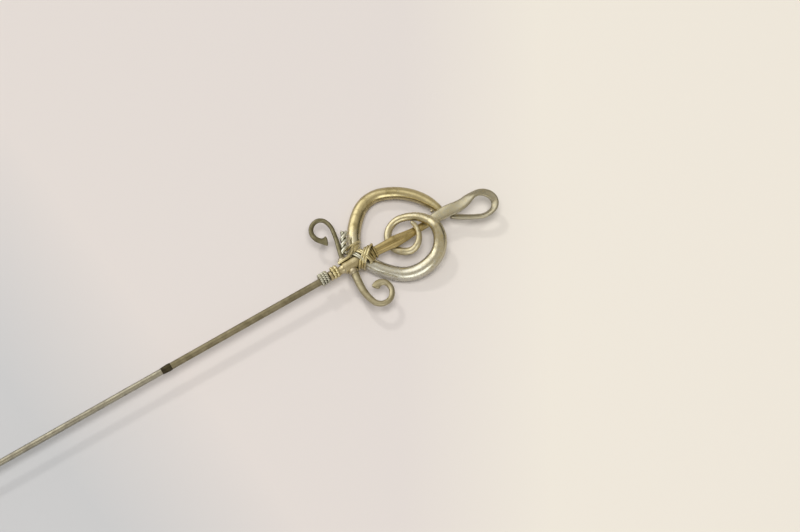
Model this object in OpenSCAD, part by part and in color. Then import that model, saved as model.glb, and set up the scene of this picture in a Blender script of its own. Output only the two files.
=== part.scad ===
// Treble clef hat pin: a steel pin soldered to a brass shank, a collar with wire rings,
// and a head bent from gilt brass wire that is lashed and soldered to the collar.
// X runs along the pin towards the head, Z is up off the table, and everything rests on z = 0.

/* [Pin] */
// Length of the steel pin from its point to the solder joint
pin_len = 110; // [60:1:200]
// Diameter of the steel pin
pin_d = 1.15; // [1.1:0.05:1.2]
// Length of the ground point
point_len = 14; // [8:1:24]
// Diameter of the rounded tip
tip_d = 0.24; // [0.2:0.02:0.4]

/* [Shank] */
// Length of bare brass shank between the solder joint and the collar
shank_len = 31.5; // [24:0.5:40]
// Diameter of the brass shank
shank_d = 1.26; // [1.22:0.02:1.3]
// Depth of the socket in the shank's end that takes the pin's tang
socket_depth = 3; // [2:0.5:5]
// Diameter of the pin's tang
tang_d = 0.7; // [0.6:0.05:0.8]

/* [Collar] */
// Diameter of the collar's smooth band
band_d = 1.8; // [1.7:0.05:2]
// Diameter of the barrel that holds the head
barrel_d = 2.4; // [2.3:0.05:2.5]
// Length of the barrel
barrel_len = 4.3; // [4.1:0.1:4.4]

/* [Head] */
// Height of the pin's axis above the table
axis_height = 4; // [4:0.1:4.5]
// Thickness of the forged stem
stem_thickness = 0.9; // [0.8:0.05:0.9]
// Diameter of the lashing wire
lash_d = 0.36; // [0.3:0.02:0.36]
// Number of lashing turns in each direction
lash_turns = 3; // [1:1:3]

/* [Detail] */
// Spacing of the sections along each bent wire
step_len = 0.75; // [0.6:0.05:2]
// Number of sides of the thick bent wires
wire_sides = 20; // [12:4:24]

/* [Hidden] */
$fn = 64;

gap = 0.02;              // clearance between pieces that touch
fit = 0.03;              // radial clearance of a peg in its hole
head_end = 36.15;        // from the collar's tip to the far side of the top loop
collar_len = 4.9;        // from the collar's tip to the barrel
total_len = pin_len + shank_len + head_end;

// The joint: both ends taper to joint_d where they meet, and solder fills the groove
joint = -shank_len;
joint_d = 0.9;
joint_taper = 1;         // length of each taper
solder_reach = 0.95;     // how far the solder runs each way from the joint
solder_rise = 0.08;      // how far it stands proud of the metal

// The collar: [start, end] along the pin of each piece that is threaded on the shank
twist_span = [0.1, 1.9];
band_span = [1.95, 2.6];
bead_span = [2.65, 3.85];
neck_span = [3.9, 4.88];
bead_r = 0.36;           // radius of each ball
bead_circle_r = 0.76;    // radius of the circle that the balls' centres lie on
bead_count = 7;
bead_band_d = 1.56;      // diameter of the band that carries the balls
neck_r = 0.76;           // radius of the neck sleeve's waist
edge = 0.15;             // chamfer of the barrel's ends
shank_end = 6.6;         // where the shank stops inside the barrel
peg_d = 0.9;             // diameter of the stem's peg in the barrel
peg_start = 6.8;
strand_r = 0.2;          // radius of one strand of the twisted rings
swell = 0.4;             // how much thicker the collar's rings are on their upper left side
bead_shift = 0.16;       // how far the beads stand off centre on that side
ring_twists = 7;         // turns of the strands round each twisted ring

// Each bent wire starts at [x, y, heading] and follows a chain of [radius, sweep] bends.
// A positive sweep turns left. Its shape list has one row for the start and one for the
// end of each bend: [width, thickness, height above the pin's axis, roll, groove depth].
clef_from = [20.05, 0.93, -71];
clef_bends = [
    [3.35, -65], [2, -64], [3.6, -53], [2.9, -49], [3.1, -72], [6.4, -50], [4.3, -30],
    [4.5, -65], [6.8, -60], [16.2, -27], [3, -45], [14, -31], [5.4, -58.5], [11.6, -43], [13.5, -18]
];
clef_shape = [
    [0.8, 0.8, 0.7], [1.1, 1.1, 0.35], [1.35, 1.35, -0.75], [1.4, 1.4, -1.22], [1.4, 1.4, -1.2],
    [1.4, 1.4, -0.15], [1.8, 1.8, 1.05], [2.2, 2.2, 1.08], [2.7, 2.7, -0.9], [2.7, 2.7, -2.64],
    [2.5, 2.5, -1.92], [2.5, 2.5, -2.1], [2.5, 2.5, -2.75], [2.35, 2.35, -2.45],
    [2.1, 2.1, -1.7], [1.3, 1.3, -1.25]
];

stem_from = [9.3, 0, -1];
stem_bends = [
    [100, -2.3], [100, 0.7], [60, 1.3], [60, 4.9], [60, -4.4], [15, -9.3],
    [7, 25], [6.1, -16.3], [2.7, -73], [1.75, -90], [3.4, -41], [21.5, -14]
];
stem_shape = [
    [1.6, stem_thickness - 0.04, 0, 0, 0.1], [1.95, stem_thickness, 0, 0, 0.25],
    [2.05, stem_thickness, 0, 0, 0.3], [2.2, stem_thickness, -0.04, 0, 0.3],
    [1.4, 0.75, -0.68, 0, 0], [2.2, 0.6, -0.2, 0, 0],
    [2.3, 0.6, 0.05, 0, 0], [2, 0.7, 0.3, -20, 0], [1.6, 0.7, 0.35, -35, 0], [1.5, 0.7, 0.1, 5, 0],
    [1.35, 0.6, -0.4, 35, 0], [1.15, 0.7, -0.9, 35, 0], [1.1, 0.8, -1.15, 20, 0]
];

left_from = [5.62, 1.3, 80];
left_bends = [[28, -6.5], [20, 9], [3.9, 30], [1.6, 81], [2, 83], [2.4, 45], [2.4, 20]];
left_shape = [
    [0.95, 0.9, 0], [0.85, 0.85, 0], [0.8, 0.8, 0], [0.8, 0.8, 0], [0.85, 0.8, 0],
    [0.9, 0.7, 0], [1.1, 0.6, 0], [1.9, 0.5, 0]
];

scroll_sides = 14;       // number of sides of the two side scrolls

right_from = [6.32, -1.38, -102];
right_bends = [[22, 9], [8.4, 23], [2.05, 95], [2.15, 92], [1.3, 105]];
right_shape = [
    [1.45, 1.3, 0], [1.35, 1.25, 0], [1.15, 1.1, 0], [1, 1, 0],
    [1.1, 0.85, 0], [1.5, 0.6, 0]
];

tail_from = [6.5, 2.5, 60];
tail_len = 4.2;
tail_height = 0;
tail_r = 0.27;           // radius of each of its two strands
tail_pitch = 2.6;        // length of one full twist of the strands

// Where the clef wire passes under the barrel: [x, y, height, heading]
crossing = [9.45, 0, -1.92, 113];
clef_under_d = 2.5;      // the clef wire's diameter there
saddle_d = 2.76;         // diameter of the groove that the barrel has for it
lash_headings = [46, 64];
lash_slack = 1.25;       // each turn stands off the corners by this factor
crossing_spot = [24.5, 1.45, -0.35];
crossing_spot_d = 0.6;
scroll_solder_d = 1.9;

// ---- bent wires ----

function along(from, bend, part) =
    let (
        side = sign(bend[1]),
        turned = from[2] + bend[1] * part,
        centre = [from[0], from[1]] + side * bend[0] * [-sin(from[2]), cos(from[2])]
    )
    [centre[0] + side * bend[0] * sin(turned), centre[1] - side * bend[0] * cos(turned), turned];

function bend_steps(bend) = max(2, ceil(bend[0] * abs(bend[1]) * PI / 180 / step_len));

// A smooth curve through a list of rows, at a fraction of the way from row i to the next
function smooth(rows, i, part) =
    let (
        a = rows[max(i - 1, 0)],
        b = rows[i],
        c = rows[i + 1],
        d = rows[min(i + 2, len(rows) - 1)]
    )
    b + part / 2 * (c - a + part * (2 * a - 5 * b + 4 * c - d + part * (3 * (b - c) + d - a)));

// Every station of a wire as [[x, y, heading], shape row]
function stations(from, bends, shape, i = 0) =
    i == len(bends)
        ? [[from, shape[i]]]
        : concat(
            [for (k = [0:bend_steps(bends[i]) - 1])
                let (part = k / bend_steps(bends[i]))
                [along(from, bends[i], part), smooth(shape, i, part)]],
            stations(along(from, bends[i], 1), bends, shape, i + 1)
        );

function power(value, exponent) = sign(value) * pow(abs(value), exponent);

// The closed section of a wire at one station; flatness 1 is an ellipse, less is squarer
function section(station, sides, flatness, size = 1, ahead = 0) =
    let (
        at = station[0],
        row = station[1],
        roll = len(row) > 3 ? row[3] : 0,
        groove = len(row) > 3 ? row[4] : 0
    )
    [for (j = [0:sides - 1])
        let (
            angle = 360 * j / sides,
            across = size * row[0] / 2 * power(cos(angle), flatness),
            up = size * row[1] / 2 * power(sin(angle), flatness) - (angle == 90 ? groove : 0),
            side = across * cos(roll) - up * sin(roll),
            rise = across * sin(roll) + up * cos(roll)
        )
        [
            at[0] - side * sin(at[2]) + ahead * cos(at[2]),
            at[1] + side * cos(at[2]) + ahead * sin(at[2]),
            row[2] + rise
        ]];

// Rings that round an end off; direction is -1 at the start and 1 at the far end
function end_rings(station, sides, flatness, direction) =
    [for (angle = direction > 0 ? [30:30:60] : [60:-30:30])
        section(station, sides, flatness, cos(angle), direction * sin(angle) * station[1][1] / 2)];

module skin(rings) {
    sides = len(rings[0]);
    last = len(rings) - 1;
    faces = concat(
        [[for (j = [0:sides - 1]) j]],
        [for (i = [0:last - 1])
            for (j = [0:sides - 1])
                let (next = (j + 1) % sides)
                [i * sides + j, (i + 1) * sides + j, (i + 1) * sides + next, i * sides + next]],
        [[for (j = [sides - 1:-1:0]) last * sides + j]]
    );
    polyhedron(points = [for (ring = rings) each ring], faces = faces, convexity = 8);
}

module bent_wire(from, bends, shape, sides, flatness = 1, round_start = true, round_end = true) {
    all = stations(from, bends, shape);
    body = [for (s = all) section(s, sides, flatness)];
    first = round_start ? end_rings(all[0], sides, flatness, -1) : [];
    final = round_end ? end_rings(all[len(all) - 1], sides, flatness, 1) : [];
    skin(concat(first, body, final));
}

// ---- helpers ----

module in_place() {
    translate([pin_len + shank_len - total_len / 2, 0, axis_height]) children();
}

// A solid of revolution about the pin's axis, from an outline of [x, radius] points
module turned(outline) {
    rotate([0, 90, 0]) rotate_extrude() polygon([for (p = outline) [p[1], p[0]]]);
}

module rod(from, to, d) {
    translate([from, 0, 0]) rotate([0, 90, 0]) cylinder(h = to - from, d = d);
}

// ---- pin and shank ----

module pin_shaft() {
    tip = joint - pin_len;
    tang_end = joint + socket_depth - 0.2;
    color("silver") in_place() {
        turned([
            [tip, 0], [tip + tip_d * 0.1, tip_d * 0.3], [tip + tip_d * 0.4, tip_d / 2],
            [tip + point_len * 0.4, pin_d * 0.38], [tip + point_len * 0.75, pin_d * 0.475],
            [tip + point_len, pin_d / 2], [joint - joint_taper, pin_d / 2],
            [joint - gap, joint_d / 2], [joint - gap, tang_d / 2], [tang_end, tang_d / 2], [tang_end, 0]
        ]);
    }
}

module shank() {
    color("darkkhaki") in_place() difference() {
        turned([
            [joint, 0], [joint, joint_d / 2], [joint + joint_taper, shank_d / 2],
            [shank_end, shank_d / 2], [shank_end, 0]
        ]);
        rod(joint - 1, joint + socket_depth, tang_d + 2 * fit);
    }
}

// A lens of solder that has run round the joint between pin and shank and fills its groove
module joint_solder() {
    first = joint - solder_reach;
    last = joint + solder_reach;
    color("dimgray") in_place() difference() {
        turned([
            [first, 0], [first, pin_d / 2 + 2 * gap], [joint - solder_reach / 2, pin_d / 2 + solder_rise],
            [joint + solder_reach / 3, shank_d / 2 + solder_rise], [last, shank_d / 2 + 2 * gap], [last, 0]
        ]);
        turned([
            [first - 1, 0], [first - 1, pin_d / 2 + gap], [joint - joint_taper, pin_d / 2 + gap],
            [joint, joint_d / 2 + gap], [joint + joint_taper, shank_d / 2 + gap],
            [last + 1, shank_d / 2 + gap], [last + 1, 0]
        ]);
    }
}

// ---- collar ----

// A plain ring on the shank, from an outline of [x, radius] points
module threaded(outline) {
    first = outline[0][0];
    last = outline[len(outline) - 1][0];
    difference() {
        turned(concat([[first, 0]], outline, [[last, 0]]));
        rod(first - 1, last + 1, shank_d + 2 * fit);
    }
}

// A closed ring of two wire strands twisted together, seated on the shank
module twisted_ring(start, end) {
    slices = 56;
    sides = 10;
    middle = (start + end) / 2;
    centre_r = shank_d / 2 + fit + strand_r * 0.92;
    wide = (end - start) / (2 * strand_r);
    points = [for (i = [0:slices - 1]) for (j = [0:sides - 1])
        let (
            turn = 360 * i / slices,
            angle = 360 * j / sides,
            thick = 1 + swell * (1 + cos(turn - 20)) / 2,
            lobe = strand_r * (0.8 + 0.2 * cos(2 * angle - ring_twists * turn)),
            r = centre_r + strand_r * (thick - 1) + lobe * cos(angle) * 0.92 * thick
        )
        [middle + lobe * sin(angle) * wide, r * cos(turn), r * sin(turn)]];
    faces = [for (i = [0:slices - 1]) for (j = [0:sides - 1])
        let (i2 = (i + 1) % slices, j2 = (j + 1) % sides)
        [i * sides + j, i * sides + j2, i2 * sides + j2, i2 * sides + j]];
    polyhedron(points = points, faces = faces, convexity = 6);
}

module twisted_rings() {
    middle = (twist_span[0] + twist_span[1]) / 2;
    color("khaki") in_place() {
        twisted_ring(twist_span[0], middle - gap);
        twisted_ring(middle + gap, twist_span[1]);
    }
}

module collar_band() {
    r = band_d / 2;
    color("goldenrod") in_place() threaded([
        [band_span[0], r - 0.1], [band_span[0] + 0.1, r], [band_span[1] - 0.1, r], [band_span[1], r - 0.1]
    ]);
}

// A ring of small balls soldered round a plain band
module beaded_ring() {
    middle = (bead_span[0] + bead_span[1]) / 2;
    color("gold") in_place() difference() {
        union() {
            translate([0, bead_shift, bead_shift / 2]) for (turn = [0:360 / bead_count:359])
                rotate([turn, 0, 0]) translate([middle, 0, bead_circle_r]) sphere(r = bead_r);
            rod(bead_span[0], bead_span[1], bead_band_d);
        }
        rod(bead_span[0] - 1, bead_span[1] + 1, shank_d + 2 * fit);
    }
}

module neck_sleeve() {
    color("goldenrod") in_place() threaded([
        [neck_span[0], neck_r + 0.06], [neck_span[0] + 0.3, neck_r],
        [neck_span[1] - 0.35, neck_r + 0.02], [neck_span[1], neck_r + 0.19]
    ]);
}

module socket_barrel() {
    end = collar_len + barrel_len;
    color("goldenrod") in_place() difference() {
        turned([
            [collar_len, 0], [collar_len, barrel_d / 2 - edge], [collar_len + edge, barrel_d / 2],
            [end - edge, barrel_d / 2], [end, barrel_d / 2 - edge], [end, 0]
        ]);
        rod(collar_len - 1, shank_end + 0.1, shank_d + 2 * fit);
        rod(peg_start - 0.1, end + 1, peg_d + 2 * fit);
        translate([crossing[0], crossing[1], crossing[2]]) rotate([0, 90, crossing[3]])
            cylinder(h = 8, d = saddle_d, center = true);
    }
}

// ---- clef ----

module clef_scroll() {
    color("darkkhaki") in_place()
        bent_wire(clef_from, clef_bends, clef_shape, wire_sides, round_end = false);
}

module clef_stem_loop() {
    color("darkkhaki") in_place() {
        bent_wire(stem_from, stem_bends, stem_shape, wire_sides, 0.75, false, false);
        rod(peg_start, stem_from[0] + 0.3, peg_d);
    }
}

// Solder run into the corner where the clef wire passes under the stem
module crossing_solder() {
    color("lemonchiffon") in_place() translate(crossing_spot) sphere(d = crossing_spot_d);
}

// ---- lashing ----

// One closed turn of wire round the barrel and the clef wire beneath it. The turn lies along
// a heading, and is shifted sideways from the crossing by offset.
module lash_turn(heading, offset, lift) {
    slices = 36;
    sides = 8;
    wire_r = lash_d / 2;
    clef_r = clef_under_d / 2;
    top = barrel_d / 2 + gap + wire_r + lift;
    bottom = crossing[2] - clef_r - 3 * gap - wire_r - lift;
    wide_top = lash_slack * (barrel_d / 2 / sin(heading) + wire_r + gap) + lift;
    wide_bottom = lash_slack * (clef_r / sin(crossing[3] - heading) + wire_r + gap) + lift;
    shift_top = -offset / tan(heading);
    shift_bottom = offset / tan(crossing[3] - heading);
    path = [for (i = [0:slices - 1])
        let (
            angle = 360 * i / slices,
            z = (top + bottom) / 2 + (top - bottom) / 2 * power(sin(angle), 0.75),
            level = min(max(1 - z / crossing[2], 0), 1),
            rise = level * level * (3 - 2 * level),
            wide = wide_bottom + (wide_top - wide_bottom) * rise
        )
        [wide * power(cos(angle), 0.75) + shift_bottom + (shift_top - shift_bottom) * rise, z]];
    rings = [for (i = [0:slices - 1])
        let (
            before = path[(i + slices - 1) % slices],
            after = path[(i + 1) % slices],
            slope = atan2(after[1] - before[1], after[0] - before[0])
        )
        [for (j = [0:sides - 1])
            let (angle = 360 * j / sides, out = wire_r * cos(angle))
            [path[i][0] + out * sin(slope), offset + wire_r * sin(angle), path[i][1] - out * cos(slope)]]];
    faces = [for (i = [0:slices - 1]) for (j = [0:sides - 1])
        let (i2 = (i + 1) % slices, j2 = (j + 1) % sides)
        [i * sides + j, i2 * sides + j, i2 * sides + j2, i * sides + j2]];
    translate([crossing[0], crossing[1], 0]) rotate([0, 0, heading])
        polyhedron(points = [for (ring = rings) each ring], faces = faces, convexity = 6);
}

module lash_set(heading, lift) {
    for (k = [0:lash_turns - 1])
        lash_turn(heading, (k - (lash_turns - 1) / 2) * (lash_d + gap), lift);
}

module lashing_inner() {
    color("gold") in_place() lash_set(lash_headings[0], 0);
}

module lashing_outer() {
    color("gold") in_place() lash_set(lash_headings[1], lash_d + 2 * gap);
}

// The lashing's two free ends, twisted together beside the clef wire
module lashing_tail() {
    sides = 8;
    slices = 24;
    heading = tail_from[2];
    color("khaki") in_place() for (strand = [0, 180])
        skin([for (i = [0:slices])
            let (
                run = tail_len * i / slices,
                turn = 360 * run / tail_pitch + strand,
                side = (tail_r + gap / 2) * cos(turn),
                rise = (tail_r + gap / 2) * sin(turn)
            )
            [for (j = [0:sides - 1])
                let (
                    angle = 360 * j / sides,
                    across = side + tail_r * cos(angle),
                    up = rise + tail_r * sin(angle)
                )
                [
                    tail_from[0] + run * cos(heading) - across * sin(heading),
                    tail_from[1] + run * sin(heading) + across * cos(heading),
                    tail_height + up
                ]]]);
}

// ---- side scrolls ----

module left_scroll() {
    color("olive") in_place()
        bent_wire(left_from, left_bends, left_shape, scroll_sides, round_start = false, round_end = false);
}

module right_scroll() {
    color("darkkhaki") in_place()
        bent_wire(right_from, right_bends, right_shape, scroll_sides, round_start = false);
}

// A collar of solder round the foot of each scroll, where it meets the barrel
module scroll_solder() {
    color("khaki") in_place() difference() {
        for (foot = [left_from, right_from])
            translate([foot[0] - 0.1, foot[1] * 0.96, 0]) sphere(d = scroll_solder_d);
        rod(collar_len - 3, collar_len + barrel_len + 1, barrel_d + 2 * gap);
        for (foot = [[left_from, left_shape[0]], [right_from, right_shape[0]]])
            translate([foot[0][0], foot[0][1], 0]) rotate([0, 90, foot[0][2]])
                cylinder(h = 4, d = foot[1][0] + 2 * fit, center = true);
    }
}

pin_shaft();
joint_solder();
shank();
twisted_rings();
collar_band();
beaded_ring();
neck_sleeve();
socket_barrel();
clef_scroll();
clef_stem_loop();
crossing_solder();
lashing_inner();
lashing_outer();
lashing_tail();
left_scroll();
right_scroll();
scroll_solder();
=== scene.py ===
"""Looks of the treble clef hat pin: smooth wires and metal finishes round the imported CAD.

Shapes are given in mm in the design frame, whose origin is the collar's tip on the pin's axis.
place() turns them into the row frame's metres.
"""
import math
import random

import bpy
import numpy as np
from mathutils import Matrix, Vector, noise


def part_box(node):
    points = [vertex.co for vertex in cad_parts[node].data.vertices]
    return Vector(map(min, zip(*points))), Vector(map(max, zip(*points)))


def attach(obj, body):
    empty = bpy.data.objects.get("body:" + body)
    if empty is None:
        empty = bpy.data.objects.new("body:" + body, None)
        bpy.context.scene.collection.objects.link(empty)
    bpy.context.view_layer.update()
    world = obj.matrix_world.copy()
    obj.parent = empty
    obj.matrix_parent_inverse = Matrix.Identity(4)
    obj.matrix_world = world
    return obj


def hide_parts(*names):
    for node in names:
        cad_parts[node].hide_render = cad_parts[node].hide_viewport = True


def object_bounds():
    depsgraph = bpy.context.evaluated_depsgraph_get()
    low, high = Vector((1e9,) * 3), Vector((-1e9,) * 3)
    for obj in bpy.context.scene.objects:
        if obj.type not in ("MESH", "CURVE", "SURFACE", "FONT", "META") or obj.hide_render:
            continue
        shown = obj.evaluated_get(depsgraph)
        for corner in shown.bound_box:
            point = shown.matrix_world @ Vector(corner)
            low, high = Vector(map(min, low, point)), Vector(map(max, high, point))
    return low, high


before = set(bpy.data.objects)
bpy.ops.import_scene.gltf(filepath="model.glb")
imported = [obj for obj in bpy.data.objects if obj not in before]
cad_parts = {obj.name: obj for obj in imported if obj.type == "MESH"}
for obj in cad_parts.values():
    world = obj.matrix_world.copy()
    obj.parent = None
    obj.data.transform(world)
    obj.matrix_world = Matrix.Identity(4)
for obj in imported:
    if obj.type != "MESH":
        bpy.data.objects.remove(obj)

MM = 0.001
COLLAR_LEN = 4.9
CAD_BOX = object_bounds()
BARREL_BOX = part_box("socket_barrel")
ORIGIN = np.array([
    BARREL_BOX[0].x - COLLAR_LEN * MM,
    0.0,
    (BARREL_BOX[0].z + BARREL_BOX[1].z) / 2,
])
SCENE = bpy.context.scene
SCENE.view_settings.view_transform = "Standard"
SCENE.view_settings.look = "None"


def place(points):
    """Design millimetres to metres in the row frame."""
    return np.asarray(points, float) * MM + ORIGIN


# ---- camera and light ----

EYE = place([-46.42, -104.64, 320.49])
AIM = place([13.73, -5.12, 0.99])
camera_data = bpy.data.cameras.new("camera")
camera_data.lens = 85
camera_data.sensor_width = 36
camera_data.clip_start = 0.01
camera_data.clip_end = 20
camera = bpy.data.objects.new("camera", camera_data)
camera.location = EYE
camera.rotation_mode = "QUATERNION"
camera.rotation_quaternion = (Vector(AIM) - Vector(EYE)).to_track_quat("-Z", "Y")
SCENE.collection.objects.link(camera)
SCENE.camera = camera


def direction(azimuth, elevation):
    """Azimuth 0 is towards -Y and 90 towards +X; elevation is above the horizon, in degrees."""
    a, e = math.radians(azimuth), math.radians(elevation)
    return Vector((math.sin(a) * math.cos(e), -math.cos(a) * math.cos(e), math.sin(e)))


HEAD_MIDDLE = (14, 0, 0)


def panel(name, azimuth, elevation, distance, size, power, colour):
    """A soft round light aimed at the head. It lights surfaces but shows in no reflection."""
    data = bpy.data.lights.new(name, "AREA")
    data.shape = "DISK"
    data.size = size
    data.energy = power
    data.color = colour
    light = bpy.data.objects.new(name, data)
    away = direction(azimuth, elevation)
    light.location = Vector(place(HEAD_MIDDLE)) + away * distance
    light.rotation_mode = "QUATERNION"
    light.rotation_quaternion = away.to_track_quat("Z", "Y")
    light.visible_glossy = False
    SCENE.collection.objects.link(light)


panel("overhead", -31, 82, 1.4, 0.75, 11.8, (1.0, 0.99, 0.985))
panel("window", 180, 49, 1.2, 0.13, 2.0, (1.0, 0.98, 0.95))

# The background lights everything evenly with AMBIENT. What the metal reflects is something
# else: a dim warm room, with a soft patch of light added at each of these places. The last
# patch takes light away.
AMBIENT = (0.335, 0.325, 0.315, 1)
ROOM = (0.42, 0.385, 0.32)
PATCHES = [  # azimuth, elevation, inner and outer radius in degrees, colour
    (-150, 38, 10, 42, (0.95, 0.95, 0.92)),
    (-140, 4, 8, 26, (0.70, 0.70, 0.65)),
    (149, 72, 4, 28, (0.20, 0.20, 0.18)),
    (-28, 31, 8, 25, (1.15, 1.18, 1.15)),
    (79, 4, 12, 44, (-0.34, -0.31, -0.26)),
]
world = bpy.data.worlds.new("studio")
SCENE.world = world
world.use_nodes = True
wn, wl = world.node_tree.nodes, world.node_tree.links
wn.clear()
w_out = wn.new("ShaderNodeOutputWorld")
w_seen = wn.new("ShaderNodeBackground")
w_lit = wn.new("ShaderNodeBackground")
w_mix = wn.new("ShaderNodeMixShader")
w_path = wn.new("ShaderNodeLightPath")
w_lit.inputs["Color"].default_value = AMBIENT
w_coord = wn.new("ShaderNodeTexCoord")
total = None
for azimuth, elevation, inner, outer, rgb in PATCHES:
    dot = wn.new("ShaderNodeVectorMath")
    dot.operation = "DOT_PRODUCT"
    dot.inputs[1].default_value = direction(azimuth, elevation)
    wl.new(w_coord.outputs["Generated"], dot.inputs[0])
    fall = wn.new("ShaderNodeMapRange")
    fall.interpolation_type = "SMOOTHSTEP"
    fall.inputs["From Min"].default_value = math.cos(math.radians(outer))
    fall.inputs["From Max"].default_value = math.cos(math.radians(inner))
    wl.new(dot.outputs["Value"], fall.inputs["Value"])
    lit = wn.new("ShaderNodeVectorMath")
    lit.operation = "MULTIPLY_ADD"
    lit.inputs[1].default_value = rgb
    wl.new(fall.outputs["Result"], lit.inputs[0])
    if total is None:
        lit.inputs[2].default_value = ROOM
    else:
        wl.new(total, lit.inputs[2])
    total = lit.outputs[0]
wl.new(total, w_seen.inputs["Color"])
wl.new(w_path.outputs["Is Glossy Ray"], w_mix.inputs[0])
wl.new(w_lit.outputs[0], w_mix.inputs[1])
wl.new(w_seen.outputs[0], w_mix.inputs[2])
wl.new(w_mix.outputs[0], w_out.inputs["Surface"])


# ---- materials ----

class Nodes:
    """A small builder for one material's node tree."""

    def __init__(self, name):
        self.material = bpy.data.materials.new(name)
        self.material.use_nodes = True
        self.tree = self.material.node_tree
        self.tree.nodes.clear()
        self.out = self.add("ShaderNodeOutputMaterial")
        self.shader = self.add("ShaderNodeBsdfPrincipled")
        self.link(self.shader.outputs[0], self.out.inputs["Surface"])

    def add(self, kind, **settings):
        node = self.tree.nodes.new(kind)
        for key, value in settings.items():
            setattr(node, key, value)
        return node

    def link(self, a, b):
        self.tree.links.new(a, b)

    def place(self, scale, kind="Object"):
        """A position in mm, scaled along each axis.

        The kind "wire" gives mm along the wire and then the direction round it instead.
        """
        if kind == "Object":
            source = self.add("ShaderNodeTexCoord").outputs["Object"]
            scale = [1000 * s for s in scale]
        else:
            source = self.add("ShaderNodeAttribute", attribute_name="wire").outputs["Vector"]
        node = self.add("ShaderNodeVectorMath", operation="MULTIPLY")
        node.inputs[1].default_value = scale
        self.link(source, node.inputs[0])
        return node.outputs[0]

    def noise(self, vector, scale, detail, rough, distortion=0.0):
        node = self.add("ShaderNodeTexNoise")
        node.inputs["Scale"].default_value = scale
        node.inputs["Detail"].default_value = detail
        node.inputs["Roughness"].default_value = rough
        node.inputs["Distortion"].default_value = distortion
        self.link(vector, node.inputs["Vector"])
        return node.outputs["Fac"]

    def span(self, value, low, high, to_low=0.0, to_high=1.0):
        """Maps low..high to to_low..to_high, and holds the value at both ends."""
        node = self.add("ShaderNodeMapRange")
        limits = {"From Min": low, "From Max": high, "To Min": to_low, "To Max": to_high}
        for key, limit in limits.items():
            node.inputs[key].default_value = limit
        self.link(value, node.inputs["Value"])
        return node.outputs["Result"]

    def math(self, operation, a, b):
        node = self.add("ShaderNodeMath", operation=operation)
        for socket, value in zip(node.inputs, (a, b)):
            if hasattr(value, "node"):
                self.link(value, socket)
            else:
                socket.default_value = value
        return node.outputs[0]

    def mix(self, factor, a, b):
        node = self.add("ShaderNodeMix", data_type="RGBA")
        for socket, value in ((node.inputs[0], factor), (node.inputs[6], a), (node.inputs[7], b)):
            if hasattr(value, "node"):
                self.link(value, socket)
            elif isinstance(value, tuple):
                socket.default_value = (*value, 1)
            else:
                socket.default_value = value
        return node.outputs[2]

    def bump(self, height, strength, distance, normal=None):
        """A bump of up to distance mm, on top of another when normal is given."""
        node = self.add("ShaderNodeBump")
        node.inputs["Strength"].default_value = strength
        node.inputs["Distance"].default_value = distance * MM
        self.link(height, node.inputs["Height"])
        if normal is not None:
            self.link(normal, node.inputs["Normal"])
        return node.outputs[0]


# The grime colour for pits, also used as the colour of the painted shade in crevices
GRIME_AND_SHADE = (0.06, 0.048, 0.022)
CREVICE_SHADE_REACH = 0.7     # mm
SOFT_FADE = 5           # mm
SOFT_ROUGHNESS = 0.16


def metal(name, bright, dull, rough, dull_share, lines, crevice_shade, pits,
          wire=True, under=None, metallic=1.0, soft_run=None):
    """A worn plated metal.

    bright is the clean plating and dull its tarnish, which covers about dull_share of it.
    Grime sits in pits. Crevices are painted darker with the same colour: painted shade found by
    ambient occlusion. lines is the strength of the drawing lines along the wire. under is the
    paler metal that shows where the piece's wear attribute says the plating has gone. The wire
    is rougher over its first soft_run mm.
    """
    n = Nodes(name)
    body = n.place((1, 1, 1))
    length = n.place((0.25, 14, 1), "wire") if wire else n.place((0.25, 6, 6))
    cloud = n.noise(body, 0.55, 4, 0.6, 0.4)
    patch = n.span(cloud, 0.62 - dull_share * 0.45, 0.74 - dull_share * 0.2)
    streak = n.noise(length, 1.0, 3, 0.6)
    speck = n.noise(body, 9.0, 2, 0.6)
    tone = n.mix(patch, bright, dull)
    if under:
        gone = n.add("ShaderNodeAttribute", attribute_name="wear").outputs["Fac"]
        ragged = n.math("ADD", gone, n.span(n.noise(body, 2.2, 3, 0.6), 0.3, 0.7, -0.2, 0.2))
        tone = n.mix(n.span(ragged, 0.1, 0.95), tone, under)
    tone = n.mix(n.span(streak, 0.52, 0.75, 0, 0.35 * lines), tone, dull)
    tone = n.mix(n.span(speck, 0.62, 0.72, 0, pits), tone, GRIME_AND_SHADE)
    # Painted shade: the colour darkens towards the grime colour where ambient occlusion finds a
    # crevice
    corner = n.add("ShaderNodeAmbientOcclusion", samples=8)
    corner.inputs["Distance"].default_value = CREVICE_SHADE_REACH * MM
    crevice_shade_mask = n.span(corner.outputs["AO"], 0.2, 0.85, crevice_shade, 0.0)
    tone = n.mix(crevice_shade_mask, tone, GRIME_AND_SHADE)
    n.link(tone, n.shader.inputs["Base Color"])
    n.shader.inputs["Metallic"].default_value = metallic
    worn = n.span(patch, 0, 1, rough, rough + 0.16)
    worn = n.math("ADD", worn, n.span(streak, 0.35, 0.75, -0.03, 0.07))
    worn = n.math("ADD", worn, n.span(crevice_shade_mask, 0, 1, 0, 0.3))
    if soft_run:
        run = n.add("ShaderNodeSeparateXYZ")
        n.link(n.place((1, 0, 0), "wire"), run.inputs[0])
        soft = n.span(run.outputs["X"], soft_run - SOFT_FADE, soft_run, SOFT_ROUGHNESS, 0)
        worn = n.math("ADD", worn, soft)
    n.link(worn, n.shader.inputs["Roughness"])
    drawn = n.bump(streak, 0.25 * lines, 0.02)
    uneven = n.bump(n.noise(body, 1.1, 2, 0.5), 0.35, 0.05, drawn)
    n.link(n.bump(speck, 0.3 * pits, 0.02, uneven), n.shader.inputs["Normal"])
    return n.material


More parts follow.
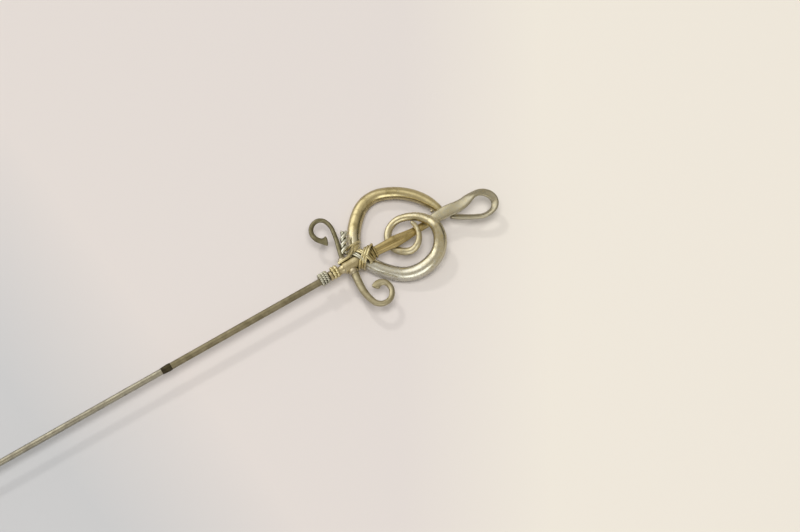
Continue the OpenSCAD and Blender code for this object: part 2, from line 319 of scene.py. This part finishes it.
GOLD = (0.80, 0.69, 0.40)
OLIVE = (0.46, 0.38, 0.18)
SILVER = (0.90, 0.90, 0.83)
GREY = (0.56, 0.53, 0.42)
MATERIALS = {  # name, bright, dull, rough, dull_share, lines, crevice shade, pits
    "gilt": metal("gilt_wire", GOLD, OLIVE, 0.2, 0.3, 0.5, 0.8, 0.15,
                  under=SILVER, soft_run=17),
    "stem": metal("gilt_forged", (0.76, 0.62, 0.31), (0.54, 0.43, 0.19), 0.27, 0.4, 0.8, 0.85, 0.25,
                  under=GREY),
    "bright": metal("gilt_bright", (0.98, 0.88, 0.54), (0.70, 0.58, 0.28), 0.26, 0.3, 0.4, 0.4, 0.2,
                    metallic=0.92),
    # Painted shade: a darker copy of the lashing gilt, for turns that sit in shade by the stem
    "coil_in_shade": metal("gilt_coil", (0.64, 0.52, 0.25), (0.42, 0.33, 0.14), 0.28, 0.4, 0.4, 0.95, 0.3),
    "soft": metal("gilt_soft", (0.66, 0.60, 0.42), (0.50, 0.44, 0.27), 0.4, 0.4, 0.4, 0.8, 0.2),
    "dull": metal("gilt_dull", (0.36, 0.33, 0.21), (0.24, 0.215, 0.125), 0.38, 0.5, 0.6, 0.8, 0.3),
    "sparkle": metal("twist_wire", (0.93, 0.93, 0.80), (0.60, 0.57, 0.42), 0.16, 0.35, 0.4, 0.8,
                     0.3, metallic=0.9),
    "pale": metal("solder_pale", (0.74, 0.66, 0.48), (0.5, 0.44, 0.30), 0.28, 0.35, 0.3, 0.8, 0.3,
                  wire=False),
    "dark": metal("solder_dark", (0.10, 0.085, 0.05), (0.06, 0.05, 0.035), 0.45, 0.5, 0.3, 0.5, 0.4,
                  wire=False),
    "collar": metal("collar_gilt", (0.86, 0.76, 0.50), (0.6, 0.5, 0.27), 0.22, 0.4, 0.4, 0.8, 0.3,
                    wire=False),
    "brass": metal("shank_brass", (0.44, 0.39, 0.26), (0.32, 0.28, 0.18), 0.42, 0.5, 0.8, 0.5, 0.4,
                   wire=False),
    "steel": metal("pin_steel", (0.60, 0.57, 0.46), (0.42, 0.39, 0.32), 0.26, 0.4, 0.9, 0.5, 0.4,
                   wire=False),
}


# ---- bent wires ----

def along(start, bend, part):
    """The point and heading a share of the way along one bend of [radius, sweep]."""
    side = math.copysign(1, bend[1])
    h = math.radians(start[2])
    turned = h + math.radians(bend[1]) * part
    cx = start[0] - side * bend[0] * math.sin(h)
    cy = start[1] + side * bend[0] * math.cos(h)
    x = cx + side * bend[0] * math.sin(turned)
    y = cy - side * bend[0] * math.cos(turned)
    return x, y, math.degrees(turned)


def smooth(rows, i, t):
    """A Catmull-Rom cubic through the rows, a share t of the way from row i to the next."""
    last = len(rows) - 1
    a, b, c, d = (np.array(rows[min(max(k, 0), last)], float) for k in (i - 1, i, i + 1, i + 2))
    return b + t / 2 * (c - a + t * (2 * a - 5 * b + 4 * c - d + t * (3 * (b - c) + d - a)))


def stations(start, bends, shape, step):
    """Stations every step mm as (x, y, heading in radians, shape row)."""
    found = []
    at = tuple(start)
    for i, bend in enumerate(bends):
        count = max(3, math.ceil(bend[0] * math.radians(abs(bend[1])) / step))
        for k in range(count):
            x, y, h = along(at, bend, k / count)
            found.append((x, y, math.radians(h), smooth(shape, i, k / count)))
        at = along(at, bend, 1)
    found.append((at[0], at[1], math.radians(at[2]), np.array(shape[-1], float)))
    return found


def circle(count):
    """Angles in radians, evenly round a full turn."""
    return np.arange(count) * 2 * math.pi / count


def power(value, exponent):
    """Under 1, the exponent makes a sine and cosine pair bulge towards a rectangle."""
    return np.sign(value) * np.abs(value) ** exponent


UNEVEN = 0.02           # how much the width and thickness wander
UNEVEN_RATE = 0.23      # how fast, per mm along the wire
GROOVE_HALF = 0.2


def wander(run, seed, channel):
    return 1 + UNEVEN * noise.noise(Vector((run * UNEVEN_RATE, seed, channel)))


def ring_at(station, sides, flatness, size, ahead, run, seed):
    """One closed section of a wire, as points in mm. flatness under 1 squares it off."""
    x, y, h, row = station
    angle = circle(sides)
    roll, groove = (math.radians(row[3]), row[4]) if len(row) > 3 else (0, 0)
    width = row[0] * wander(run, seed, 1.7)
    height = row[1] * wander(run, seed, 9.1)
    across = size * width / 2 * power(np.cos(angle), flatness)
    up = size * height / 2 * power(np.sin(angle), flatness)
    up = up - groove * np.exp(-((across / GROOVE_HALF) ** 2)) * (np.sin(angle) > 0)
    side = across * math.cos(roll) - up * math.sin(roll)
    rise = across * math.sin(roll) + up * math.cos(roll)
    return np.stack([
        x - side * math.sin(h) + ahead * math.cos(h),
        y + side * math.cos(h) + ahead * math.sin(h),
        row[2] + rise,
    ], axis=1)


def build(name, rings, runs, material, replaces, closed=False, worn=None):
    """A piece from rings of points, one skin over all of them, closed on itself or at its ends.

    Two attributes go with it: wire holds the run in mm and the direction round the wire, and
    wear the share of the plating that has gone.
    """
    sides = len(rings[0])
    count = len(rings)
    points = place(np.concatenate(rings))
    faces = []
    for i in range(count if closed else count - 1):
        a, b = i * sides, (i + 1) % count * sides
        faces += [(a + j, a + (j + 1) % sides, b + (j + 1) % sides, b + j) for j in range(sides)]
    if not closed:
        faces.append(tuple(range(sides - 1, -1, -1)))
        faces.append(tuple((count - 1) * sides + j for j in range(sides)))
    run = np.repeat(runs, sides)
    around = np.tile(circle(sides), count)
    mesh = bpy.data.meshes.new(name)
    mesh.from_pydata([tuple(p) for p in points], [], faces)
    mesh.update()
    mesh.shade_smooth()
    wire = mesh.attributes.new("wire", "FLOAT_VECTOR", "POINT")
    turned = np.stack([run, np.cos(around), np.sin(around)], axis=1)
    wire.data.foreach_set("vector", turned.astype(np.float32).ravel())
    if worn:
        where, amount = zip(*worn)
        wear = mesh.attributes.new("wear", "FLOAT", "POINT")
        gone = np.interp(run / run.max(), where, amount)
        wear.data.foreach_set("value", gone.astype(np.float32))
    piece = bpy.data.objects.new(name, mesh)
    SCENE.collection.objects.link(piece)
    mesh.materials.append(MATERIALS[material])
    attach(piece, "root")
    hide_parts(*replaces)


CAP_ANGLES = (80, 66, 52, 38, 25, 12)


def sweep(name, start, bends, shape, material, sides, seed, replaces,
          flatness=1.0, step=0.12, round_start=True, worn=None):
    """A bent wire as one smooth piece, with a round end. Its start is round or cut flat.

    worn lists [share of its length, wear of its plating].
    """
    all_stations = stations(start, bends, shape, step)
    places = np.array([s[:2] for s in all_stations])
    runs = np.concatenate([[0], np.cumsum(np.linalg.norm(np.diff(places, axis=0), axis=1))])
    rings, along_runs = [], []

    def add_ring(station, run, size=1, ahead=0):
        rings.append(ring_at(station, sides, flatness, size, ahead, run, seed))
        along_runs.append(run + ahead)

    def cap(station, run, outward, angles):
        for angle in np.radians(angles):
            ahead = outward * math.sin(angle) * station[3][1] / 2
            add_ring(station, run, math.cos(angle), ahead)

    if round_start:
        cap(all_stations[0], 0, -1, CAP_ANGLES)
    for station, run in zip(all_stations, runs):
        add_ring(station, run)
    cap(all_stations[-1], runs[-1], 1, CAP_ANGLES[::-1])
    build(name, rings, np.array(along_runs), material, replaces, worn=worn)


def tube(name, path, radius, material, replaces, sides=16, closed=False):
    """A round wire along any path of points in mm, with one radius or a radius for each point."""
    path = np.asarray(path, float)
    count = len(path)
    if closed:
        ahead = np.roll(path, -1, 0) - np.roll(path, 1, 0)
    else:
        ahead = np.gradient(path, axis=0)
    ahead /= np.linalg.norm(ahead, axis=1)[:, None]
    normal = np.cross(ahead[0], [0.3, 0.2, 1.0])
    normal /= np.linalg.norm(normal)
    normals = []
    for i in range(count):
        normal = normal - (normal @ ahead[i]) * ahead[i]
        normal /= np.linalg.norm(normal)
        normals.append(normal.copy())
    twist = 0.0
    if closed:  # the angle by which the normals miss each other, spread over the whole ring
        last = normals[-1] - (normals[-1] @ ahead[0]) * ahead[0]
        twist = math.atan2(np.cross(normals[0], last) @ ahead[0], normals[0] @ last)
    angle = circle(sides)
    radii = np.broadcast_to(radius, count)
    rings = []
    for i in range(count):
        u = normals[i]
        v = np.cross(ahead[i], u)
        a = angle - twist * i / count
        rings.append(path[i] + radii[i] * (np.cos(a)[:, None] * u + np.sin(a)[:, None] * v))
    runs = np.concatenate([[0], np.cumsum(np.linalg.norm(np.diff(path, axis=0), axis=1))])
    build(name, rings, runs, material, replaces, closed=closed)


# ---- the clef and the two scrolls ----

# FROM is x, y and heading, BENDS are radius and sweep in degrees, and each SHAPE row is width,
# thickness, height of the middle and, for the stem, roll and groove depth. Row i is where bend
# i starts.

CLEF_FROM = (20.05, 0.93, -71)
CLEF_BENDS = [
    (3.35, -65), (2, -64), (3.6, -53), (2.9, -49), (3.1, -72), (6.4, -50), (4.3, -30),
    (4.5, -65), (6.8, -60), (16.2, -27), (3, -45), (14, -31), (5.4, -58.5), (11.6, -43),
    (13.5, -18),
]
CLEF_SHAPE = [
    (0.8, 0.8, 0.7), (1.1, 1.1, 0.35), (1.35, 1.35, -0.75), (1.4, 1.4, -1.22), (1.4, 1.4, -1.2),
    (1.4, 1.4, -0.15), (1.8, 1.8, 1.05), (2.2, 2.2, 1.08), (2.7, 2.7, -0.9), (2.7, 2.7, -2.64),
    (2.5, 2.5, -1.92), (2.5, 2.5, -2.1), (2.5, 2.5, -2.75), (2.35, 2.35, -2.45),
    (2.1, 2.1, -1.7), (1.3, 1.3, -1.25),
]
STEM_FROM = (9.3, 0, -1)
STEM_BENDS = [
    (100, -2.3), (100, 0.7), (60, 1.3), (60, 4.9), (60, -4.4), (15, -9.3),
    (7, 25), (6.1, -16.3), (2.7, -73), (1.75, -90), (3.4, -41), (21.5, -14),
]
STEM_SHAPE = [
    (1.6, 0.86, 0, 0, 0.15), (1.95, 0.9, 0, 0, 0.4), (2.05, 0.9, 0, 0, 0.45),
    (2.2, 0.9, -0.04, 0, 0.45), (1.4, 0.75, -0.68, 0, 0), (2.2, 0.6, -0.2, 0, 0),
    (2.3, 0.6, 0.05, 0, 0), (2, 0.7, 0.3, -20, 0), (1.6, 0.7, 0.35, -35, 0), (1.5, 0.7, 0.1, 5, 0),
    (1.35, 0.6, -0.4, 35, 0), (1.15, 0.7, -0.9, 35, 0), (1.1, 0.8, -1.15, 20, 0),
]
LEFT_FROM = (5.62, 1.3, 80)
LEFT_BENDS = [(28, -6.5), (20, 9), (3.9, 30), (1.6, 81), (2, 83), (2.4, 45), (2.4, 20)]
LEFT_SHAPE = [
    (0.95, 0.9, 0), (0.85, 0.85, 0), (0.8, 0.8, 0), (0.8, 0.8, 0), (0.85, 0.8, 0),
    (0.9, 0.7, 0), (1.1, 0.6, 0), (1.9, 0.5, 0),
]
RIGHT_FROM = (6.32, -1.38, -102)
RIGHT_BENDS = [(22, 9), (8.4, 23), (2.05, 95), (2.15, 92), (1.3, 105)]
RIGHT_SHAPE = [
    (1.45, 1.3, 0), (1.35, 1.25, 0), (1.15, 1.1, 0), (1, 1, 0), (1.1, 0.85, 0), (1.5, 0.6, 0),
]

sweep("clef_wire", CLEF_FROM, CLEF_BENDS, CLEF_SHAPE, "gilt", sides=56, seed=3.1,
      replaces=["clef_scroll"],
      worn=[(0, 0.35), (0.25, 0.3), (0.36, 0.35), (0.45, 0.75), (0.56, 0.9), (0.63, 0.6),
            (0.7, 0), (1, 0.1)])
sweep("stem_and_loop", STEM_FROM, STEM_BENDS, STEM_SHAPE, "stem", sides=64, flatness=0.75,
      step=0.1, seed=7.7, replaces=["clef_stem_loop"],
      worn=[(0, 0), (0.3, 0), (0.38, 0.8), (0.55, 0.85), (1, 0.9)])
sweep("left_curl", LEFT_FROM, LEFT_BENDS, LEFT_SHAPE, "dull", sides=32, step=0.08,
      round_start=False, seed=1.3, replaces=["left_scroll"])
sweep("right_curl", RIGHT_FROM, RIGHT_BENDS, RIGHT_SHAPE, "soft", sides=32, step=0.08,
      round_start=False, seed=5.9, replaces=["right_scroll"])


# ---- lashing ----

LASH_R = 0.19
THICK_R = 0.25
GAP = 0.02
BARREL_D = 2.4
CROSSING = (9.45, 0.0, -1.92, 113)  # the clef wire under the barrel: x, y, height, heading
CLEF_UNDER_D = 2.5
TOP_SLACK = 1.1
BOTTOM_SLACK = 1.04
TURN_SQUARE = 0.75
rng = random.Random(5)


def lash_path(heading, offset):
    """One closed turn round the barrel and the clef wire beneath it, offset mm to one side."""
    x0, y0, clef_z, clef_heading = CROSSING
    h = math.radians(heading)
    lean = math.radians(clef_heading - heading)
    top = BARREL_D / 2 + LASH_R
    bottom = clef_z - CLEF_UNDER_D / 2 - GAP - LASH_R
    wide_top = TOP_SLACK * (BARREL_D / 2 / math.sin(h) + LASH_R)
    wide_bottom = BOTTOM_SLACK * (CLEF_UNDER_D / 2 / math.sin(lean) + LASH_R)
    shift_top, shift_bottom = -offset / math.tan(h), offset / math.tan(lean)
    angle = circle(72)
    z = (top + bottom) / 2 + (top - bottom) / 2 * power(np.sin(angle), TURN_SQUARE)
    level = np.clip(1 - z / clef_z, 0, 1)
    rise = level * level * (3 - 2 * level)
    wide = wide_bottom + (wide_top - wide_bottom) * rise
    shift = shift_bottom + (shift_top - shift_bottom) * rise
    x = wide * power(np.cos(angle), TURN_SQUARE) + shift
    return np.stack([
        x0 + x * math.cos(h) - offset * math.sin(h),
        y0 + x * math.sin(h) + offset * math.cos(h),
        z,
    ], axis=1)


def hoop(x, y, z, heading, half_width, half_height, squareness=1.0):
    """A closed turn standing across a wire that runs along this heading."""
    h = math.radians(heading)
    angle = circle(48)
    side = half_width * power(np.cos(angle), squareness)
    return np.stack([
        x - side * math.sin(h),
        y + side * math.cos(h),
        z + half_height * power(np.sin(angle), squareness),
    ], axis=1)


def curve_through(points, steps=14):
    """A smooth path through a few points."""
    points = np.asarray(points, float)
    found = [smooth(points, i, k / steps) for i in range(len(points) - 1) for k in range(steps)]
    return np.array([*found, points[-1]])


def lash(name, path, radius, material, closed=True, replaces="lashing_outer"):
    tube(name, path, radius, material, [replaces], closed=closed)


# Turns that slant across the barrel and hold the clef wire under it
LOW_PITCH = 0.41
for k in range(3):
    path = lash_path(40 + rng.uniform(-6, 6), (k - 1) * LOW_PITCH)
    lash(f"lash_low_{k}", path, THICK_R * 0.9, "bright", replaces="lashing_inner")

# Turns from the barrel's end to the stem, each smaller than the one before.
# The three nearest the stem take a darker copy of the gilt, as painted shade.
HIGH_TURNS = 5
for k in range(HIGH_TURNS):
    share = k / (HIGH_TURNS - 1)
    path = hoop(9.15 + 1.5 * share, 0.1 - 0.1 * share, 0, rng.uniform(-6, 26),
                1.62 - 0.42 * share, 1.5 - 0.75 * share, 0.85)
    lash(f"lash_high_{k}", path, LASH_R * 1.15, "bright" if k < 2 else "coil_in_shade")

# Turns round the foot of the clef's left curve, slanted across it
CURVE_TURNS = [(8.15, 1.9, -2.0), (8.35, 2.4, -2.05), (8.55, 2.85, -2.1), (8.75, 3.35, -2.2)]
for k, (x, y, z) in enumerate(CURVE_TURNS):
    path = hoop(x, y, z, 106 + rng.uniform(-14, 14), 1.62, 1.52, 0.9)
    lash(f"lash_curve_{k}", path, THICK_R, "bright")

# Pale turns across the barrel's end
for k, x in enumerate((8.15, 8.5)):
    path = hoop(x, 0.05, 0, 24 + rng.uniform(-9, 9), 1.5, 1.46)
    lash(f"lash_barrel_{k}", path, LASH_R, "sparkle")

# Turns round the stem's foot, in the darker copy of the gilt as painted shade
for k in range(2):
    path = hoop(11.0 + 0.44 * k, -0.03, 0, rng.uniform(-14, 8), 1.08 + 0.04 * k, 0.66, 0.8)
    lash(f"lash_foot_{k}", path, LASH_R, "coil_in_shade")

# The lead runs along the barrel and turns up over the clef wire
LEAD = [
    (4.5, 1.1, 0.78), (5.0, 1.12, 0.92), (5.6, 1.1, 1.02), (6.7, 1.2, 0.98), (7.5, 1.65, 0.62),
    (8.1, 2.4, 0.0), (8.65, 3.0, -0.35), (9.4, 3.45, -0.9), (10.0, 3.6, -1.7),
]
lash("lash_lead", curve_through(LEAD), THICK_R, "bright", closed=False)

# The two ends, twisted together
TAIL_FROM = (6.5, 2.5, 60)
TAIL_LEN = 4.2
TAIL_PITCH = 2.6
TAIL_R = 0.33
TAIL_STRAND_R = TAIL_R * 1.04
run = np.linspace(0, TAIL_LEN, 110)
h = math.radians(TAIL_FROM[2])
for strand in range(2):
    turn = 2 * math.pi * run / TAIL_PITCH + strand * math.pi
    side = TAIL_R * np.cos(turn)
    path = np.stack([
        TAIL_FROM[0] + run * math.cos(h) - side * math.sin(h),
        TAIL_FROM[1] + run * math.sin(h) + side * math.cos(h),
        TAIL_R * np.sin(turn),
    ], axis=1)
    tube(f"tail_strand_{strand}", path, TAIL_STRAND_R, "sparkle", ["lashing_tail"])


# ---- collar ----

SHANK_R = 0.63
TWIST_R = 0.105
TWIST_CENTRES = (0.38, 0.92, 1.46)
TWISTS = 9
SWELL = 0.9
SWELL_AT = math.radians(20)
turn = circle(220)
thick = TWIST_R * (1 + SWELL * (1 + np.cos(turn - SWELL_AT)) / 2)
for ring, middle in enumerate(TWIST_CENTRES):
    for strand in range(2):
        phase = TWISTS * turn + strand * math.pi + ring * 1.1
        r = SHANK_R + GAP + 2 * thick + thick * np.cos(phase)
        path = np.stack([
            middle + thick * np.sin(phase), r * np.cos(turn), r * np.sin(turn),
        ], axis=1)
        tube(f"twist_ring_{ring}_{strand}", path, thick * 0.97, "sparkle",
             ["twisted_rings"], sides=12, closed=True)

BEADS = 7
BEAD_R = 0.37
BEAD_CIRCLE_R = 0.84
BEAD_SHIFT = (0.2, 0.1)
BEAD_CENTRES = (2.95, 3.58)
turn = circle(210)
for ring, middle in enumerate(BEAD_CENTRES):
    lobes = np.abs(np.sin(turn * BEADS / 2 + ring * 0.9)) ** 0.6
    path = np.stack([
        np.full(len(turn), middle),
        BEAD_SHIFT[0] + BEAD_CIRCLE_R * np.cos(turn),
        BEAD_SHIFT[1] + BEAD_CIRCLE_R * np.sin(turn),
    ], axis=1)
    tube(f"bead_ring_{ring}", path, BEAD_R * (0.5 + 0.5 * lobes), "bright",
         ["beaded_ring"], sides=20, closed=True)

# CAD pieces that show as they are
CAD_LOOKS = {
    "pin_shaft": "steel", "joint_solder": "dark", "shank": "brass",
    "collar_band": "collar", "neck_sleeve": "collar", "socket_barrel": "collar",
    "crossing_solder": "pale", "scroll_solder": "pale",
}
for node, look in CAD_LOOKS.items():
    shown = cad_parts[node]
    for material_slot in shown.material_slots:
        material_slot.material = MATERIALS[look]


# ---- floor ----

PAPER_SHADED_GREY = (0.61, 0.615, 0.62)
PAPER_PINK = (0.775, 0.725, 0.69)
PAPER_LIT_CREAM = (0.87, 0.825, 0.735)
PAPER_SHADE_IN_METAL = (0.03, 0.026, 0.02)
PAPER_SHADE_IN_METAL_SHARE = 0.42
FLOOR_HALF = 3.0  # m


def paper():
    """Pale pink paper, greyed by painted shade at one corner and made cream by painted light at one
    side.
    In reflections it is painted darker still, as painted shade.
    """
    n = Nodes("paper")
    sheet = n.place((1, 1, 1))
    split = n.add("ShaderNodeSeparateXYZ")
    n.link(sheet, split.inputs[0])

    def towards(x_share, y_share):
        along_x = n.math("MULTIPLY", split.outputs["X"], x_share)
        along_y = n.math("MULTIPLY", split.outputs["Y"], y_share)
        return n.math("ADD", along_x, along_y)

    side = towards(0.856, -0.517)
    depth = towards(0.517, 0.856)
    # Painted shade greys the paper towards one corner, and painted light turns it cream towards one
    # side
    corner = n.math("ADD", side, n.math("MULTIPLY", depth, 0.75))
    tone = n.mix(n.span(corner, -4, 30), PAPER_SHADED_GREY, PAPER_PINK)
    tone = n.mix(n.span(side, 60, 86), tone, PAPER_LIT_CREAM)
    # Painted shade: glossy rays see the paper darker, standing in for the shaded floor next to the
    # metal
    glossy = n.add("ShaderNodeLightPath").outputs["Is Glossy Ray"]
    tone = n.mix(n.span(glossy, 0, 1, 0, PAPER_SHADE_IN_METAL_SHARE), tone, PAPER_SHADE_IN_METAL)
    n.link(tone, n.shader.inputs["Base Color"])
    n.shader.inputs["Roughness"].default_value = 0.75
    n.shader.inputs["Specular IOR Level"].default_value = 0.2
    n.link(n.bump(n.noise(sheet, 0.9, 4, 0.6), 0.08, 0.05), n.shader.inputs["Normal"])
    return n.material


floor_z = CAD_BOX[0].z
floor_mesh = bpy.data.meshes.new("floor")
floor_mesh.from_pydata([
    (-FLOOR_HALF, -FLOOR_HALF, floor_z), (FLOOR_HALF, -FLOOR_HALF, floor_z),
    (FLOOR_HALF, FLOOR_HALF, floor_z), (-FLOOR_HALF, FLOOR_HALF, floor_z),
], [], [(0, 1, 2, 3)])
floor_mesh.materials.append(paper())
floor = bpy.data.objects.new("floor", floor_mesh)
SCENE.collection.objects.link(floor)
